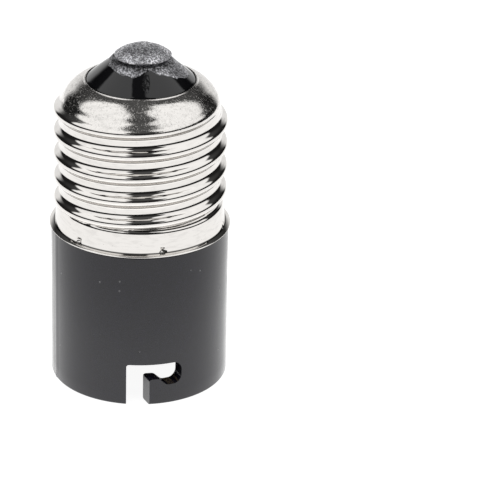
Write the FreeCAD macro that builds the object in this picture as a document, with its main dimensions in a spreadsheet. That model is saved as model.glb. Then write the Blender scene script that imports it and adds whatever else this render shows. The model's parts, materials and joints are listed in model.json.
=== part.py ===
import FreeCAD, Part
import math
import os

import Sketcher

# Adapter that carries a bayonet lamp on a screw cap.
# It stands on its mouth rim: z = 0 there, +Z points to the centre contact, and -Y is
# the side of the first bayonet slot. Lengths are millimetres and angles are degrees.

VECTOR = FreeCAD.Vector
UP = VECTOR(0, 0, 1)

# Driving dimensions
SIZES = {
    # Moulded housing
    "body_diameter": 26.9,
    "body_height": 24.6,
    "body_wall": 2.3,
    "lamp_bore_depth": 9.2,
    "relief_step": 0.35,
    "lamp_room_depth": 14.0,
    "floor_thickness": 2.5,
    "rim_chamfer": 0.3,
    "neck_wall": 1.5,
    "neck_setback": 0.7,
    "neck_play": 0.12,
    # Bayonet slots, cut straight through along the line of the seated lamp pins
    "slot_count": 2,
    "seat_turn": 24.0,
    "entry_width": 3.2,
    "entry_offset": -5.56,
    "hook_floor": 3.15,
    "slot_height": 3.6,
    "hook_reach": 1.1,
    "hook_corner": 1.4,
    "tongue_rise": 0.75,
    "tongue_length": 1.5,
    "tongue_slope": 1.2,
    "slot_corner": 0.4,
    # Screw shell
    "sheet": 0.3,
    "pitch": 3.629,
    "first_crest": 2.4,
    "thread_overrun": 1.845,
    "thread_fade": 0.5,
    "crest_inset": 0.375,
    "thread_depth": 1.125,
    "crest_flat": 0.7,
    "flank_width": 1.7,
    "foot_width": 2.9,
    "flank_height": 0.72,
    "rim_lip": 0.25,
    "flare_height": 0.55,
    "band_foot_inset": 0.5,
    "band_top_inset": 0.9,
    "band_height": 3.0,
    "band_cone": 0.6,
    "dome_foot": 18.7,
    "dome_height": 4.5,
    "dome_run": 3.7,
    # Stakes that fix the shell to the neck
    "stake_count": 6,
    "stake_turn": 15.4,
    "stake_lift": 1.1,
    "stake_width": 0.9,
    "stake_depth": 0.4,
    # Glass insulator
    "glass_gap": 0.3,
    "glass_play": 0.05,
    "glass_height": 3.2,
    "glass_top_diameter": 8.7,
    "glass_wall": 5.6,
    "glass_roof": 3.6,
    # Centre contact and its solder
    "eyelet_flange": 5.2,
    "eyelet_sheet": 0.3,
    "eyelet_diameter": 2.2,
    "eyelet_bore": 1.4,
    "eyelet_tail": 0.6,
    "solder_diameter": 8.55,
    "solder_undercut": 0.35,
    "solder_edge": 0.2,
    "solder_crown": 1.5,
    "film_thickness": 0.22,
    "collar_diameter": 10.5,
    "lobe_centre": 4.75,
    "lobe_radius": 3.0,
    "lobe_turn": 4.0,
    # Spring contacts, side by side in the neck
    "chamber_diameter": 6.8,
    "chamber_height": 11.5,
    "boss_wall": 1.9,
    "flange_play": 0.2,
    "flange_step": 0.9,
    "flange_thickness": 1.1,
    "plunger_play": 0.15,
    "plunger_reach": 4.5,
    "plunger_chamfer": 0.5,
    "spigot_step": 0.6,
    "spigot_length": 1.5,
    "spring_wire": 0.5,
    "spring_play": 0.35,
    "spring_turns": 5.0,
    "spring_gap": 0.02,
    # Terminals, plate and leads
    "terminal_lap": 0.3,
    "brass_sheet": 0.5,
    "tag_width": 2.4,
    "tag_height": 4.6,
    "tag_inset": 1.1,
    "tag_eye": 1.2,
    "plate_thickness": 1.2,
    "plate_play": 0.1,
    "tag_play": 0.2,
    "lead_diameter": 0.9,
    "lead_gap": 0.02,
    "lead_foot": 2.2,
    "lead_drop": 4.9,
    "lead_top": 6.6,
    "notch_width": 1.5,
    "notch_depth": 2.8,
}

# Levels and radii that several pieces share, as expressions of the sheet
BODY = "(sizes.body_diameter / 2)"
BORE = "(sizes.body_diameter / 2 - sizes.body_wall)"
RELIEF = "(%s + sizes.relief_step)" % BORE
RIM = "(sizes.body_diameter / 2 + sizes.rim_lip)"
BAND_FOOT = "(sizes.body_diameter / 2 - sizes.band_foot_inset)"
BAND_TOP = "(sizes.body_diameter / 2 - sizes.band_top_inset)"
CREST = "(sizes.body_diameter / 2 - sizes.crest_inset)"
ROOT = "(%s - sizes.thread_depth)" % CREST
LINER = "(%s - sizes.sheet)" % ROOT
NECK = "(%s - sizes.neck_play)" % LINER
NECK_ROOM = "(%s - sizes.neck_wall)" % NECK
OPENING = "(%s - sizes.dome_run)" % ROOT
GLASS_EDGE = "(%s - sizes.glass_play)" % OPENING
GLASS_RECESS = "(%s - sizes.glass_play - sizes.glass_wall)" % LINER
GLASS_RUN = "(%s - sizes.glass_top_diameter / 2)" % GLASS_EDGE
GLASS_SIDE = "sqrt(%s ^ 2 + sizes.glass_height ^ 2)" % GLASS_RUN

SHOULDER = "sizes.body_height"
FLOOR = "sizes.lamp_room_depth"
DECK = "(sizes.lamp_room_depth + sizes.floor_thickness)"
BOSS_TOP = "(%s + sizes.chamber_height)" % DECK
FLARE_Z = "(sizes.body_height + sizes.flare_height)"
BAND_Z = "(%s + sizes.band_height)" % FLARE_Z
CONE_Z = "(%s + sizes.band_cone)" % BAND_Z
DOME_Z = "(sizes.body_height + sizes.dome_foot)"
NECK_TOP = "(%s - sizes.neck_setback)" % DOME_Z
OPENING_Z = "(%s + sizes.dome_height)" % DOME_Z
DOME_RADIUS = "((sizes.dome_run ^ 2 + sizes.dome_height ^ 2) / (2 * sizes.dome_run))"
GLASS_Z = "(%s + sizes.glass_gap)" % NECK_TOP
GLASS_TOP = "(%s + sizes.glass_height)" % OPENING_Z
SOLDER_Z = "(%s + sizes.solder_undercut)" % GLASS_TOP
SLOT_TOP = "(sizes.hook_floor + sizes.slot_height)"
TONGUE_TOP = "(sizes.hook_floor + sizes.tongue_rise)"

# Two contacts share the room in the neck, and each is measured from its chamber's wall
CONTACT = "(%s / 2)" % NECK_ROOM
CHAMBER = "(sizes.chamber_diameter / 2)"
BOSS = "(%s + sizes.boss_wall)" % CHAMBER
FLANGE = "(%s - sizes.flange_play)" % CHAMBER
NOSE = "(%s - sizes.flange_step)" % FLANGE
SPIGOT = "(%s - sizes.spigot_step)" % NOSE
COIL = "(%s + sizes.spring_play + sizes.spring_wire / 2)" % SPIGOT
TERMINAL = "(%s + sizes.terminal_lap)" % CHAMBER
TAG = "(%s - sizes.tag_inset)" % TERMINAL

doc = FreeCAD.newDocument("adapter")
table = doc.addObject("Spreadsheet::Sheet", "sizes")
for row, (alias, number) in enumerate(SIZES.items(), start=1):
    table.set("A%d" % row, alias)
    table.set("B%d" % row, str(number))
    table.setAlias("B%d" % row, alias)
doc.recompute()


def value(expression):
    """Number that an expression of the sheet gives."""
    return float(table.evalExpression(str(expression)))


def new_body(name):
    """Empty body whose label is the piece's name."""
    body = doc.addObject("PartDesign::Body", name)
    body.Label = name
    return body


def origin_item(body, role):
    """Plane or axis of the body's own origin."""
    return next(item for item in body.Origin.OriginFeatures if item.Role == role)


def new_sketch(body, name, role, lift="0", turn="0", out="0"):
    """Sketch on an origin plane, lifted along Z and turned about Z by expressions.

    An upright sketch may also stand out from the axis, along its own normal.
    """
    sketch = body.newObject("Sketcher::SketchObject", name)
    sketch.AttachmentSupport = [(origin_item(body, role), "")]
    sketch.MapMode = "FlatFace"
    flat = role == "XY_Plane"
    axis = UP if flat else VECTOR(0, 1, 0)
    sketch.AttachmentOffset = FreeCAD.Placement(VECTOR(), FreeCAD.Rotation(axis, value(turn)))
    sketch.setExpression("AttachmentOffset.Base." + ("z" if flat else "y"), lift)
    if out != "0":
        sketch.setExpression("AttachmentOffset.Base.x", "(%s) * sin((%s) * 1 deg)" % (out, turn))
        sketch.setExpression("AttachmentOffset.Base.z", "(%s) * cos((%s) * 1 deg)" % (out, turn))
    if turn != "0":
        sketch.setExpression("AttachmentOffset.Rotation.Angle", "(%s) * 1 deg" % turn)
    return sketch


def bind(sketch, constraint, expression):
    """Add a constraint whose size follows an expression."""
    index = sketch.addConstraint(constraint)
    sketch.setExpression("Constraints[%d]" % index, expression)


def pin_point(sketch, element, point, across, up):
    """Hold a point of an element at a place given by two expressions."""
    for kind, expression in (("DistanceX", across), ("DistanceY", up)):
        distance = Sketcher.Constraint(kind, -1, 1, element, point, value(expression))
        bind(sketch, distance, expression)


def arc_between(start, end, radius):
    """Short arc and its point numbers; a negative radius turns clockwise."""
    chord = end - start
    left = VECTOR(-chord.y, chord.x, 0).normalize()
    rise = math.sqrt(max(radius ** 2 - chord.Length ** 2 / 4, 0.0))
    centre = (start + end) * 0.5 + left * math.copysign(rise, radius)
    order = (start, end) if radius > 0 else (end, start)
    angles = [math.atan2(point.y - centre.y, point.x - centre.x) for point in order]
    if angles[1] < angles[0]:
        angles[1] += 2 * math.pi
    circle = Part.Circle(centre, UP, abs(radius))
    return Part.ArcOfCircle(circle, *angles), (1, 2) if radius > 0 else (2, 1)


def draw_outline(sketch, corners):
    """Closed outline through corners (across, up), each bound to two expressions.

    A third entry is the radius of an arc to the next corner, negative if clockwise.
    """
    places = [VECTOR(value(corner[0]), value(corner[1]), 0) for corner in corners]
    followers = places[1:] + places[:1]
    points = []
    for corner, start, end in zip(corners, places, followers):
        if len(corner) == 3:
            element, numbers = arc_between(start, end, value(corner[2]))
        else:
            element, numbers = Part.LineSegment(start, end), (1, 2)
        sketch.addGeometry(element, False)
        points.append(numbers)
    first = sketch.GeometryCount - len(corners)
    for index, corner in enumerate(corners):
        after = (index + 1) % len(corners)
        sketch.addConstraint(Sketcher.Constraint(
            "Coincident", first + index, points[index][1], first + after, points[after][0]))
        pin_point(sketch, first + index, points[index][0], corner[0], corner[1])
        if len(corner) == 3:
            radius = abs(value(corner[2]))
            bind(sketch, Sketcher.Constraint("Radius", first + index, radius),
                 "abs(%s)" % corner[2])


def draw_circle(sketch, across, up, diameter):
    """Circle bound to expressions for its centre and diameter."""
    centre = VECTOR(value(across), value(up), 0)
    index = sketch.GeometryCount
    sketch.addGeometry(Part.Circle(centre, UP, value(diameter) / 2), False)
    pin_point(sketch, index, 3, across, up)
    bind(sketch, Sketcher.Constraint("Diameter", index, value(diameter)), diameter)


def draw_box(sketch, left, right, low, high):
    """Rectangle between four expressions."""
    draw_outline(sketch, [(left, low), (right, low), (right, high), (left, high)])


def revolve(body, name, sketch, axis="V_Axis", cut=False):
    """Full turn of a sketch about one of its own axes."""
    feature = body.newObject("PartDesign::" + ("Groove" if cut else "Revolution"), name)
    feature.Profile = sketch
    feature.ReferenceAxis = (sketch, [axis])
    feature.Angle = 360
    return feature


def extrude(body, name, sketch, length, cut=False, reverse=False):
    """Pad or pocket of a sketch over a length given by an expression."""
    feature = body.newObject("PartDesign::" + ("Pocket" if cut else "Pad"), name)
    feature.Profile = sketch
    feature.setExpression("Length", length)
    feature.Reversed = reverse
    return feature


def ring_of(body, name, features, count):
    """Copies of features evenly round the Z axis."""
    pattern = body.newObject("PartDesign::PolarPattern", name)
    pattern.Originals = features
    pattern.Axis = (origin_item(body, "Z_Axis"), [""])
    pattern.Angle = 360
    pattern.setExpression("Occurrences", count)
    body.Tip = pattern
    return pattern


def revolved_body(name, corners):
    """Body made by turning one outline about the Z axis."""
    body = new_body(name)
    sketch = new_sketch(body, "outline_" + name, "XZ_Plane")
    draw_outline(sketch, corners)
    revolve(body, "turned_" + name, sketch)
    return body


def stand_on_contact(piece, turn):
    """Move a piece from the Z axis to the spring contact at this turn."""
    piece.Placement = FreeCAD.Placement(VECTOR(), FreeCAD.Rotation(UP, value(turn)))
    piece.setExpression("Placement.Rotation.Angle", "(%s) * 1 deg" % turn)
    piece.setExpression("Placement.Base.x", "%s * cos((%s) * 1 deg)" % (CONTACT, turn))
    piece.setExpression("Placement.Base.y", "%s * sin((%s) * 1 deg)" % (CONTACT, turn))


def cut_stakes(body, depth, spread):
    """Ring of four-sided punch marks round the foot of the band."""
    sketch = new_sketch(
        body, "stake_outline", "XZ_Plane", lift=SHOULDER + " + sizes.stake_lift",
        turn="sizes.stake_turn", out="%s - %s" % (BAND_FOOT, depth))
    half = "(sizes.stake_width / 2 + %s)" % spread
    draw_outline(sketch, [(half, "0"), ("0", half), ("-" + half, "0"), ("0", "-" + half)])
    mark = extrude(body, "stake", sketch, "sizes.body_diameter", cut=True, reverse=True)
    ring_of(body, "stakes", [mark], "sizes.stake_count")


# Housing: lamp mouth, floor with two stepped guides, and the neck inside the shell
def make_housing():
    seat_foot = "%s - sizes.sheet - sizes.neck_play" % BAND_FOOT
    seat_top = "%s - sizes.sheet - sizes.neck_play" % BAND_TOP
    body = revolved_body("housing", [
        (BORE + " + sizes.rim_chamfer", "0"),
        (BODY + " - sizes.rim_chamfer", "0"),
        (BODY, "sizes.rim_chamfer"),
        (BODY, SHOULDER),
        (seat_foot, SHOULDER),
        (seat_foot, FLARE_Z),
        (seat_top, BAND_Z),
        (NECK, CONE_Z),
        (NECK, NECK_TOP),
        (NECK_ROOM, NECK_TOP),
        (NECK_ROOM, DECK),
        ("0", DECK),
        ("0", FLOOR),
        (RELIEF, FLOOR),
        (RELIEF, "sizes.lamp_bore_depth + %s - %s" % (RELIEF, BORE)),
        (BORE, "sizes.lamp_bore_depth"),
        (BORE, "sizes.rim_chamfer"),
    ])

    boss_sketch = new_sketch(body, "boss_outline", "XY_Plane", DECK, "sizes.seat_turn")
    draw_circle(boss_sketch, CONTACT, "0", "2 * " + BOSS)
    boss = extrude(body, "boss", boss_sketch, "sizes.chamber_height")
    ring_of(body, "bosses", [boss], "2")

    chamber_sketch = new_sketch(
        body, "chamber_outline", "XY_Plane", BOSS_TOP, "sizes.seat_turn")
    draw_circle(chamber_sketch, CONTACT, "0", "2 * " + CHAMBER)
    chamber = extrude(body, "chamber", chamber_sketch, "sizes.chamber_height", cut=True)
    ring_of(body, "chambers", [chamber], "2")

    guide_sketch = new_sketch(body, "guide_outline", "XY_Plane", DECK, "sizes.seat_turn")
    draw_circle(guide_sketch, CONTACT, "0", "2 * (%s + sizes.plunger_play)" % NOSE)
    guide = extrude(body, "guide", guide_sketch, "sizes.floor_thickness", cut=True)
    ring_of(body, "guides", [guide], "2")

    left = "(sizes.entry_offset - sizes.entry_width / 2)"
    right = "(sizes.entry_offset + sizes.entry_width / 2)"
    slot_sketch = new_sketch(body, "slot_outline", "XZ_Plane", turn="sizes.seat_turn")
    draw_outline(slot_sketch, [
        (left, "-sizes.slot_corner"),
        (right, "-sizes.slot_corner"),
        (right, TONGUE_TOP + " - sizes.slot_corner", "-sizes.slot_corner"),
        (right + " + sizes.slot_corner", TONGUE_TOP),
        (right + " + sizes.tongue_length", TONGUE_TOP),
        (right + " + sizes.tongue_length + sizes.tongue_slope", "sizes.hook_floor"),
        ("sizes.hook_reach - sizes.hook_corner", "sizes.hook_floor", "sizes.hook_corner"),
        ("sizes.hook_reach", "sizes.hook_floor + sizes.hook_corner"),
        ("sizes.hook_reach", SLOT_TOP + " - sizes.hook_corner", "sizes.hook_corner"),
        ("sizes.hook_reach - sizes.hook_corner", SLOT_TOP),
        (left + " + sizes.slot_corner", SLOT_TOP, "sizes.slot_corner"),
        (left, SLOT_TOP + " - sizes.slot_corner"),
    ])
    slot = extrude(body, "slot", slot_sketch, "sizes.body_diameter", cut=True, reverse=True)
    ring_of(body, "slots", [slot], "sizes.slot_count")

    notch_sketch = new_sketch(
        body, "notch_outline", "XZ_Plane", turn="sizes.seat_turn - 90")
    draw_box(notch_sketch, "-sizes.notch_width / 2", "sizes.notch_width / 2",
             NECK_TOP + " - sizes.notch_depth", NECK_TOP + " + sizes.notch_depth")
    extrude(body, "notch", notch_sketch, "sizes.body_diameter", cut=True, reverse=True)

    cut_stakes(body, "(sizes.stake_depth + sizes.sheet + sizes.neck_play)",
               "(sizes.sheet / 2 + sizes.neck_play)")
    return body


# Screw shell: one rolled sheet, made as an outer form less an inner form
def thread_ridge(name, profile):
    """Ridge of the rolled thread, which rises from the root and sinks back at both ends.

    The profile is one half of its section, from foot to crest: (radius, half width).
    """
    half = [(value(radius), value(width)) for radius, width in profile]
    section = [(radius, -width) for radius, width in half]
    section += [(radius, width) for radius, width in reversed(half)]
    depth = half[-1][0] - half[0][0]
    pitch = value("sizes.pitch")
    turns = value("(sizes.dome_foot - sizes.first_crest + sizes.thread_overrun) / sizes.pitch")
    fade = value("sizes.thread_fade")
    base = value("%s + sizes.first_crest" % SHOULDER)

    def place(corner, turn):
        """Point of a corner of the section after so many turns."""
        rise = max(0.0, min(1.0, turn / fade, (turns - turn) / fade))
        radius = corner[0] - depth * (1 + math.cos(math.pi * rise)) / 2
        angle = 2 * math.pi * turn
        return VECTOR(radius * math.cos(angle), radius * math.sin(angle),
                      base + pitch * turn + corner[1])

    def rail(corner, start, end):
        """Curve of one corner of the section over up to one turn."""
        span_count = 12
        step = (end - start) / span_count
        knots = [start + step * index for index in range(span_count + 1)]
        small = 1e-4
        curve = Part.BSplineCurve()
        curve.interpolate(
            Points=[place(corner, knot) for knot in knots], Parameters=knots,
            InitialTangent=(place(corner, start + small) - place(corner, start)) / small,
            FinalTangent=(place(corner, end) - place(corner, end - small)) / small,
            Scale=False)
        return curve.toShape()

    faces = []
    for whole in range(math.ceil(turns)):
        end = min(whole + 1, turns)
        rails = [rail(corner, whole, end) for corner in section]
        for edge, neighbour in zip(rails, rails[1:] + rails[:1]):
            faces += Part.makeRuledSurface(edge, neighbour).Faces
    for turn in (0, turns):
        ring = [place(corner, turn) for corner in section]
        faces.append(Part.Face(Part.makePolygon(ring + ring[:1])))
    skin = Part.makeShell(faces)
    skin.sewShape()
    ridge = Part.makeSolid(skin)
    if ridge.Volume < 0:
        ridge.reverse()
    feature = doc.addObject("Part::Feature", name)
    feature.Shape = ridge
    return feature


def boolean(kind, name, base, tool):
    """Union or difference of two objects of the document."""
    result = doc.addObject("Part::" + kind, name)
    result.Base = base
    result.Tool = tool
    return result


def make_screw_shell():
    outside = revolved_body("shell_outside", [
        ("0", SHOULDER),
        (RIM, SHOULDER),
        (RIM, SHOULDER + " + sizes.sheet / 2"),
        (BAND_FOOT, FLARE_Z),
        (BAND_TOP, BAND_Z),
        (ROOT, CONE_Z),
        (ROOT, DOME_Z, DOME_RADIUS),
        (OPENING, OPENING_Z),
        ("0", OPENING_Z),
    ])
    cut_stakes(outside, "sizes.stake_depth", "0")

    inner_reach = "(%s - sizes.sheet)" % DOME_RADIUS
    arc_end = "(%s + sqrt(%s ^ 2 - (%s - sizes.dome_run) ^ 2))" % (
        DOME_Z, inner_reach, DOME_RADIUS)
    inside = revolved_body("shell_inside", [
        ("0", SHOULDER + " - sizes.sheet"),
        (RIM + " - sizes.sheet", SHOULDER + " - sizes.sheet"),
        (RIM + " - sizes.sheet", SHOULDER),
        (BAND_FOOT + " - sizes.sheet", FLARE_Z + " - sizes.sheet / 2"),
        (BAND_TOP + " - sizes.sheet", BAND_Z),
        (LINER, CONE_Z),
        (LINER, DOME_Z, inner_reach),
        (OPENING, arc_end),
        (OPENING, OPENING_Z + " + sizes.sheet"),
        ("0", OPENING_Z + " + sizes.sheet"),
    ])
    cut_stakes(inside, "(sizes.stake_depth + sizes.sheet)", "sizes.sheet / 2")

    ridge_outside = thread_ridge("ridge_outside", [
        (LINER, "sizes.foot_width / 2"),
        (ROOT + " + sizes.flank_height", "sizes.flank_width / 2"),
        (CREST, "sizes.crest_flat / 2"),
    ])
    ridge_inside = thread_ridge("ridge_inside", [
        (LINER + " - sizes.sheet", "(sizes.foot_width - sizes.sheet) / 2"),
        (CREST + " - sizes.sheet", "(sizes.crest_flat - sizes.sheet) / 2"),
    ])
    full = boolean("Fuse", "shell_form", outside, ridge_outside)
    hollow = boolean("Fuse", "shell_hollow", inside, ridge_inside)
    shell = boolean("Cut", "screw_shell", full, hollow)
    shell.Label = "screw_shell"
    return shell


# Nose of the cap: glass insulator, eyelet and the solder that crowns it
def make_glass():
    reach = "(%s - sizes.sheet - sizes.glass_play)" % DOME_RADIUS
    inset = "(%s - sizes.dome_run - sizes.glass_play)" % DOME_RADIUS
    arc_end = "(%s + sqrt(%s ^ 2 - %s ^ 2))" % (DOME_Z, reach, inset)
    roof = GLASS_TOP + " - sizes.glass_roof"
    hole = "sizes.eyelet_diameter / 2 + sizes.glass_play"
    return revolved_body("glass_insulator", [
        (GLASS_RECESS, GLASS_Z),
        (LINER + " - sizes.glass_play", GLASS_Z),
        (LINER + " - sizes.glass_play", DOME_Z, reach),
        (GLASS_EDGE, arc_end),
        (GLASS_EDGE, OPENING_Z),
        ("sizes.glass_top_diameter / 2", GLASS_TOP),
        (hole, GLASS_TOP),
        (hole, roof),
        (GLASS_RECESS, roof),
    ])


def make_eyelet():
    tail = GLASS_TOP + " - sizes.glass_roof - sizes.eyelet_tail"
    return revolved_body("contact_eyelet", [
        ("sizes.eyelet_bore / 2", tail),
        ("sizes.eyelet_diameter / 2", tail),
        ("sizes.eyelet_diameter / 2", GLASS_TOP),
        ("sizes.eyelet_flange / 2", GLASS_TOP),
        ("sizes.eyelet_flange / 2", GLASS_TOP + " + sizes.eyelet_sheet"),
        ("sizes.eyelet_bore / 2", GLASS_TOP + " + sizes.eyelet_sheet"),
    ])


def make_solder():
    edge = "(sizes.solder_diameter / 2)"
    stem = "(sizes.solder_diameter / 2 - sizes.solder_undercut)"
    pocket = "sizes.eyelet_flange / 2 + sizes.glass_play"
    crown_radius = "((%s ^ 2 + sizes.solder_crown ^ 2) / (2 * sizes.solder_crown))" % edge
    crown = revolved_body("solder_crown", [
        ("0", GLASS_TOP + " + sizes.eyelet_sheet"),
        (pocket, GLASS_TOP + " + sizes.eyelet_sheet"),
        (pocket, GLASS_TOP),
        (stem, GLASS_TOP),
        (stem, SOLDER_Z),
        (edge, SOLDER_Z),
        (edge, SOLDER_Z + " + sizes.solder_edge", crown_radius),
        ("0", SOLDER_Z + " + sizes.solder_edge + sizes.solder_crown"),
    ])

    foot = "%s + sizes.film_thickness * %s / sizes.glass_height" % (GLASS_EDGE, GLASS_SIDE)
    film = revolved_body("solder_film", [
        (pocket, GLASS_TOP),
        ("sizes.glass_top_diameter / 2", GLASS_TOP),
        (GLASS_EDGE, OPENING_Z),
        (foot, OPENING_Z),
        ("%s - %s * (1 + sizes.film_thickness / sizes.glass_height)" % (foot, GLASS_RUN),
         GLASS_TOP + " + sizes.film_thickness"),
        (pocket, GLASS_TOP + " + sizes.film_thickness"),
    ])

    collar = doc.addObject("Part::Cylinder", "collar")
    lobe = doc.addObject("Part::Cylinder", "lobe")
    collar.setExpression("Radius", "sizes.collar_diameter / 2")
    lobe.setExpression("Radius", "sizes.lobe_radius")
    lobe.setExpression("Placement.Base.x", "sizes.lobe_centre * cos(sizes.lobe_turn * 1 deg)")
    lobe.setExpression("Placement.Base.y", "sizes.lobe_centre * sin(sizes.lobe_turn * 1 deg)")
    for post in (collar, lobe):
        post.setExpression("Height", GLASS_TOP + " - %s" % GLASS_Z)
        post.setExpression("Placement.Base.z", GLASS_Z + " + 2 * sizes.film_thickness")
    spread = boolean("Fuse", "solder_spread", collar, lobe)
    run = boolean("Common", "solder_run", film, spread)
    solder = boolean("Fuse", "centre_solder", crown, run)
    solder.Label = "centre_solder"
    return solder


# Spring contacts, each built on the Z axis and moved to its guide
def make_plunger(name, turn):
    tip = FLOOR + " - sizes.plunger_reach"
    flange_top = DECK + " + sizes.flange_thickness"
    body = revolved_body(name, [
        ("0", tip),
        (NOSE + " - sizes.plunger_chamfer", tip),
        (NOSE, tip + " + sizes.plunger_chamfer"),
        (NOSE, DECK),
        (FLANGE, DECK),
        (FLANGE, flange_top),
        (SPIGOT, flange_top),
        (SPIGOT, flange_top + " + sizes.spigot_length"),
        ("0", flange_top + " + sizes.spigot_length"),
    ])
    stand_on_contact(body, turn)
    return body


def make_spring(name, turn):
    body = new_body(name)
    foot = DECK + " + sizes.flange_thickness + sizes.spring_gap + sizes.spring_wire / 2"
    head = BOSS_TOP + " - sizes.spring_gap - sizes.spring_wire / 2"
    sketch = new_sketch(body, "wire_" + name, "XZ_Plane")
    draw_box(sketch, COIL + " - sizes.spring_wire / 2", COIL + " + sizes.spring_wire / 2",
             foot + " - sizes.spring_wire / 2", foot + " + sizes.spring_wire / 2")
    coil = body.newObject("PartDesign::AdditiveHelix", "coil_" + name)
    coil.Profile = sketch
    coil.ReferenceAxis = (sketch, ["V_Axis"])
    coil.Mode = "height-turns-angle"
    coil.setExpression("Height", "%s - (%s)" % (head, foot))
    coil.setExpression("Turns", "sizes.spring_turns")
    stand_on_contact(body, turn)
    return body


def make_terminal(name, turn):
    body = new_body(name)
    disc_sketch = new_sketch(body, "disc_" + name, "XY_Plane", BOSS_TOP)
    draw_circle(disc_sketch, "0", "0", "2 * " + TERMINAL)
    extrude(body, "plate_" + name, disc_sketch, "sizes.brass_sheet")
    spigot_sketch = new_sketch(body, "spigot_outline_" + name, "XY_Plane", BOSS_TOP)
    draw_circle(spigot_sketch, "0", "0", "2 * " + SPIGOT)
    extrude(body, "spigot_" + name, spigot_sketch, "sizes.spigot_length", reverse=True)
    tag_sketch = new_sketch(body, "tag_outline_" + name, "XY_Plane", BOSS_TOP)
    draw_box(tag_sketch, TAG + " - sizes.brass_sheet / 2", TAG + " + sizes.brass_sheet / 2",
             "-sizes.tag_width / 2", "sizes.tag_width / 2")
    extrude(body, "tag_" + name, tag_sketch, "sizes.brass_sheet + sizes.tag_height")
    eye_sketch = new_sketch(body, "eye_outline_" + name, "YZ_Plane")
    eye_lift = BOSS_TOP + " + sizes.brass_sheet + sizes.tag_height - sizes.tag_width / 2"
    draw_circle(eye_sketch, "0", eye_lift, "sizes.tag_eye")
    extrude(body, "eye_" + name, eye_sketch, TERMINAL, cut=True, reverse=True)
    stand_on_contact(body, turn)
    return body


def make_retainer():
    body = new_body("retainer_plate")
    under = BOSS_TOP + " + sizes.brass_sheet"
    sketch = new_sketch(body, "plate_outline", "XY_Plane", under, "sizes.seat_turn")
    draw_circle(sketch, "0", "0", "2 * (%s - sizes.plate_play)" % NECK_ROOM)
    half = "(sizes.brass_sheet / 2 + sizes.tag_play)"
    wide = "(sizes.tag_width / 2 + sizes.tag_play)"
    for side in ("", "-"):
        middle = "%s(%s + %s)" % (side, CONTACT, TAG)
        draw_box(sketch, "%s - %s" % (middle, half), "%s + %s" % (middle, half),
                 "-" + wide, wide)
    extrude(body, "plate", sketch, "sizes.plate_thickness")
    return body


# Leads, each a round wire along straight runs joined by wide arcs
def make_lead(name, turn, stops):
    """Wire through stops (distance from the axis, height) in the plane of a contact."""
    points = [VECTOR(value(out), 0, value(height)) for out, height in stops]
    radius = value("sizes.lead_diameter") / 2
    edges = []
    begin = points[0]
    for before, corner, after in zip(points, points[1:], points[2:]):
        back = before - corner
        ahead = after - corner
        trim = 0.45 * min(back.Length, ahead.Length)
        entry = corner + back.normalize() * trim
        leave = corner + ahead.normalize() * trim
        half_turn = (math.pi - back.getAngle(ahead)) / 2
        bend = trim / math.tan(half_turn)
        inward = (back + ahead).normalize()
        centre = corner + inward * (bend / math.cos(half_turn))
        middle = centre - inward * bend
        edges.append(Part.LineSegment(begin, entry).toShape())
        edges.append(Part.Arc(entry, middle, leave).toShape())
        begin = leave
        print("%s bend radius %.2f" % (name, bend))
    edges.append(Part.LineSegment(begin, points[-1]).toShape())
    path = Part.Wire(edges)
    side_count = 6
    corners = []
    for index in range(side_count + 1):
        angle = 2 * math.pi * index / side_count
        corners.append(points[0] + VECTOR(math.cos(angle), math.sin(angle), 0) * radius)
    section = Part.makePolygon(corners)
    area = side_count / 2 * math.sin(2 * math.pi / side_count) * radius ** 2
    wire = doc.addObject("Part::Feature", name)
    wire.Shape = path.makePipeShell([section], True, True)
    wire.Placement = FreeCAD.Placement(VECTOR(), FreeCAD.Rotation(UP, value(turn)))
    print("%s volume share %.4f" % (
        name, wire.Shape.Volume / (area * path.Length)))
    return wire


def make_leads(turn_a, turn_b):
    beside_tag = "%s + %s - sizes.brass_sheet / 2 - sizes.lead_diameter / 2 - sizes.lead_gap" % (
        CONTACT, TAG)
    foot = BOSS_TOP + " + sizes.brass_sheet + sizes.lead_foot"
    bend = NECK_TOP + " - sizes.lead_drop"
    centre = make_lead("lead_centre", turn_a, [
        (beside_tag, foot),
        (beside_tag, bend),
        ("0", GLASS_TOP + " - sizes.lead_top"),
        ("0", GLASS_TOP + " + sizes.eyelet_sheet"),
    ])
    side = make_lead("lead_shell", turn_b, [
        (beside_tag, foot),
        (beside_tag, bend),
        (LINER + " - sizes.lead_diameter / 2", NECK_TOP + " - sizes.lead_diameter"),
    ])
    return [centre, side]


TURN_A = "sizes.seat_turn"
TURN_B = "sizes.seat_turn + 180"

pieces = [make_housing(), make_screw_shell(), make_glass(), make_eyelet(), make_solder()]
for letter, turn in (("a", TURN_A), ("b", TURN_B)):
    pieces.append(make_plunger("plunger_" + letter, turn))
    pieces.append(make_spring("spring_" + letter, turn))
    pieces.append(make_terminal("terminal_" + letter, turn))
pieces.append(make_retainer())
pieces += make_leads(TURN_A, TURN_B)
doc.recompute()

for item in doc.Objects:
    faults = [state for state in item.State if state in ("Invalid", "Error")]
    if faults:
        raise RuntimeError("%s is %s" % (item.Name, faults[0]))
for item in doc.Objects:
    base = getattr(item, "BaseFeature", None)
    if base is not None and item.isDerivedFrom("PartDesign::Feature"):
        if abs(item.Shape.Volume - base.Shape.Volume) < 1e-6:
            raise RuntimeError("%s changes nothing" % item.Name)
for piece in pieces:
    if piece.Shape.isNull() or not piece.Shape.isValid():
        raise RuntimeError("%s has no valid shape" % piece.Label)

os.makedirs("parts", exist_ok=True)
for piece in pieces:
    piece.Shape.exportStep(os.path.join("parts", piece.Label + ".step"))
    print("%s %d solid(s) %.1f mm3" % (
        piece.Label, len(piece.Shape.Solids), piece.Shape.Volume))
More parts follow.
